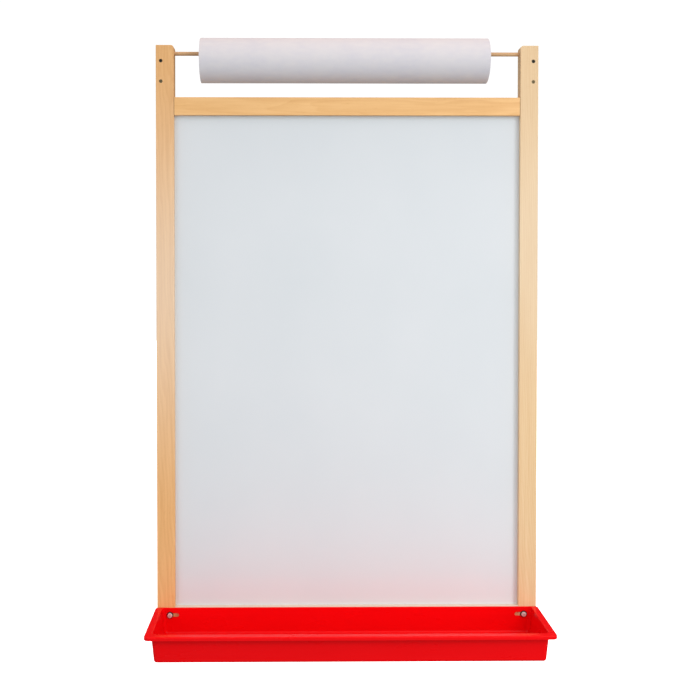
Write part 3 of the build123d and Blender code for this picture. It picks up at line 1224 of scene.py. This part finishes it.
    def dress(self) -> None:
        """Give the card core its finish."""
        dress("roll_core", SpiralWoundKraft("kraft_card_spiral_wound"))


@dataclass
class RollDowel:
    """The birch dowel, a quarter of an inch thick, that the roll hangs on."""

    tones: tuple[str, str] = ("#DDB687", "#B58453")

    def dress(self) -> None:
        """Give the dowel its finish."""
        wood = SolidWood(
            name="birch_dowel_turned_sanded",
            pale=self.tones[0],
            dark=self.tones[1],
            grain=GrainAxis.ALONG_X,
            seed=37.0,
            pith_mm=(20.0, 60.0),
            ring_mm=2.6,
            roughness=0.58,
        )
        dress("roll_dowel", wood)


@dataclass
class WallFittings:
    """The blocks, plates, screws and bumpers that hold the frame off the wall."""

    tones: tuple[str, str] = ("#EBC898", "#CC9E68")

    def dress(self) -> None:
        """Give each fitting its finish."""
        blocks = {
            "left_standoff_block": 43.0,
            "right_standoff_block": 47.0,
            "left_spacer_block": 53.0,
            "right_spacer_block": 59.0,
        }
        for node, seed in blocks.items():
            wood = SolidWood(
                name=f"maple_sawn_sanded_{node}",
                pale=self.tones[0],
                dark=self.tones[1],
                grain=GrainAxis.ALONG_Z,
                seed=seed,
                roughness=0.62,
                fibre_bump_mm=0.06,
            )
            dress(node, wood)
        zinc = PlatedSteel("steel_zinc_plated_bright", "#C9CACB", "#9B9C9C", metallic=0.45)
        plates = ("left_hanger_plate", "right_hanger_plate")
        for node in (*plates, "hanger_plate_screws", "spacer_screws"):
            dress(node, zinc)
        low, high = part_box("standoff_screws")
        dark = PlatedSteel(
            "steel_black_oxide",
            "#403F36",
            "#5C584C",
            roughness=0.5,
            metallic=0.6,
            paler_below_mm=(low.z + high.z) / 2 / MM,
        )
        dress("standoff_screws", dark)
        dress("wall_bumpers", MouldedRubber("rubber_moulded_blasted"))


@dataclass
class PaintTray:
    """The red moulded tray with its two screws and washers."""

    plastic: Finish = field(
        default_factory=lambda: MouldedPolystyrene("polystyrene_red_gloss_moulded")
    )

    def dress(self) -> None:
        """Give the tray and its fixings their finishes."""
        dress("paint_tray", self.plastic)
        # the zinc washers are painted dark, as the shade in the ring round each screw head
        dress("tray_washers", PlatedSteel("steel_zinc_washer_painted_shade", "#5E5252", "#433A3A", 0.45))
        # the heads are paler than the plates' zinc, a painted glint
        heads = PlatedSteel("steel_zinc_pan_head_painted_glint", "#F6F3F2", "#D2CDCB", 0.36, metallic=0.45)
        dress("tray_screws", heads)


# --------------------------------------------------------------------------------------------
# Studio
# --------------------------------------------------------------------------------------------


@dataclass(frozen=True)
class Softbox:
    """A large soft light that faces a point."""

    name: str
    place: tuple[float, float, float]
    aim: tuple[float, float, float]
    width: float
    height: float
    watts: float
    glints: bool = True  # whether gloss shows it

    def hang(self) -> Object:
        """Make the light and turn it to its aim.

        Returns:
            The light's object.
        """
        data = bpy.data.lights.new(self.name, "AREA")
        data.shape = "RECTANGLE"
        data.size = self.width
        data.size_y = self.height
        data.energy = self.watts
        lamp = bpy.data.objects.new(self.name, data)
        lamp.location = self.place
        facing = Vector(self.aim) - Vector(self.place)
        lamp.rotation_euler = facing.to_track_quat("-Z", "Y").to_euler()
        lamp.visible_glossy = self.glints
        lamp.visible_camera = False
        bpy.context.scene.collection.objects.link(lamp)
        log.info("%s: %.1f W", self.name, self.watts)
        return lamp


@dataclass
class Studio:
    """A pale floor, soft lights, a plain white surround and the camera."""

    camera_place: tuple[float, float, float] = (-0.07512, -1.49197, -0.30628)
    camera_turn_deg: tuple[float, float, float] = (88.989, 0.0, -0.539)
    lens_mm: float = 46.197
    shift: tuple[float, float] = (0.05897, -0.1000)
    floor_drop: float = 0.30  # below the tray
    floor_reach: float = 9.0  # from its middle to its sides
    floor_glow: float = 0.9  # its own light, which keeps it as pale as the surround
    surround: float = 1.05  # the surround's brightness where the camera sees it
    overhead: float = 1.27  # brightness of the room above the easel
    underfoot: float = 0.24  # and below it
    mirrored: float = 0.04  # what the gloss sees of it, as in a room hung with dark cloth
    warm: str = "#FFE9E2"  # the room's light from overhead
    cool: str = "#F1F7FF"  # and from the level
    lights: tuple[Softbox, ...] = (
        Softbox("key_softbox", (1.5, -1.8, 0.7), (0.0, -0.1, -0.6), 1.2, 1.2, 18),
        Softbox("fill_softbox", (-1.6, -1.8, -0.4), (0.0, -0.05, -0.6), 1.2, 1.2, 4.5),
        Softbox("tray_softbox", (0.1, -0.9, -0.2), (0.0, -0.08, -0.88), 0.9, 0.2, 1.2, False),
        Softbox("side_softbox", (1.0, -0.8, -0.75), (-0.2, -0.12, -0.88), 0.3, 0.3, 2.2, False),
    )

    def build_floor(self) -> Object:
        """Lay a plain pale floor well below the tray.

        Returns:
            The floor's object.
        """
        level = cad_bounds[0].z - self.floor_drop
        mesh = bmesh.new()
        bmesh.ops.create_grid(mesh, x_segments=1, y_segments=1, size=self.floor_reach)
        data = bpy.data.meshes.new("floor")
        mesh.to_mesh(data)
        mesh.free()
        floor = bpy.data.objects.new("floor", data)
        floor.location = (0, 0, level)
        bpy.context.scene.collection.objects.link(floor)
        paint = bpy.data.materials.new("floor_matt_white_paint")
        paint.use_nodes = True
        shader = paint.node_tree.nodes["Principled BSDF"]
        surface = {
            "Base Color": srgb_to_linear("#F4F4F4"),
            "Roughness": 0.9,
            "Specular IOR Level": 0.0,
            "Emission Color": (1, 1, 1, 1),
            "Emission Strength": self.floor_glow,
        }
        fill(paint.node_tree, shader, surface)
        data.materials.append(paint)
        # only seen: the surround lights the easel from below
        floor.visible_diffuse = False
        floor.visible_glossy = False
        return floor

    def build_surround(self) -> None:
        """Surround the scene with plain white, brighter to look at than it is as a light."""
        world = bpy.data.worlds.new("white_surround")
        world.use_nodes = True
        tree = world.node_tree
        tree.nodes.clear()
        white = (1, 1, 1, 1)
        seen = add_node(tree, "Background", {"Color": white, "Strength": self.surround})
        way = add_node(tree, "TexCoord").outputs["Generated"]
        height = add_node(tree, "SeparateXYZ", {0: way}).outputs["Z"]
        level = add_node(
            tree,
            "MapRange",
            {"Value": height, "From Min": -1.0, "To Min": self.underfoot, "To Max": self.overhead},
        )
        steep = add_node(
            tree,
            "MapRange",
            {"Value": height, "From Min": 0.15, "From Max": 0.85},
            interpolation_type="SMOOTHSTEP",
        )
        tint = add_node(
            tree,
            "Mix",
            {
                SHARE: steep.outputs[0],
                FIRST: srgb_to_linear(self.cool),
                SECOND: srgb_to_linear(self.warm),
            },
            data_type="RGBA",
        )
        room = add_node(tree, "Background", {"Color": tint.outputs[MIXED], "Strength": level.outputs[0]})
        dark = add_node(tree, "Background", {"Color": white, "Strength": self.mirrored})
        path = add_node(tree, "LightPath")
        lit = add_node(
            tree, "MixShader", {0: path.outputs["Is Glossy Ray"], 1: room.outputs[0], 2: dark.outputs[0]}
        )
        mixed = add_node(
            tree, "MixShader", {0: path.outputs["Is Camera Ray"], 1: lit.outputs[0], 2: seen.outputs[0]}
        )
        add_node(tree, "OutputWorld", {"Surface": mixed.outputs[0]})
        bpy.context.scene.world = world

    def set_camera(self) -> Object:
        """Stand the camera a little left of the middle, level with the board's upper third.

        Returns:
            The camera's object.
        """
        data = bpy.data.cameras.new("camera")
        data.lens = self.lens_mm
        data.sensor_width = 36.0
        data.shift_x, data.shift_y = self.shift
        data.clip_start = 0.01
        data.clip_end = 60.0
        camera = bpy.data.objects.new("camera", data)
        camera.location = self.camera_place
        camera.rotation_euler = [math.radians(turn) for turn in self.camera_turn_deg]
        bpy.context.scene.collection.objects.link(camera)
        bpy.context.scene.camera = camera
        return camera

    def build(self) -> None:
        """Set up the floor, surround, lights and camera."""
        self.build_floor()
        self.build_surround()
        for light in self.lights:
            light.hang()
        self.set_camera()
        view = bpy.context.scene.view_settings
        view.view_transform = "Standard"
        view.look = "None"


def main() -> None:
    """Build and dress the easel, then set up the studio."""
    logging.basicConfig(level=logging.INFO, format="%(name)s %(message)s")
    WoodenFrame().dress()
    DryEraseBoard().dress()
    RollDowel().dress()
    roll = PaperRoll()
    roll.build()
    roll.dress()
    WallFittings().dress()
    PaintTray().dress()
    Studio().build()


if __name__ == "__main__":
    main()
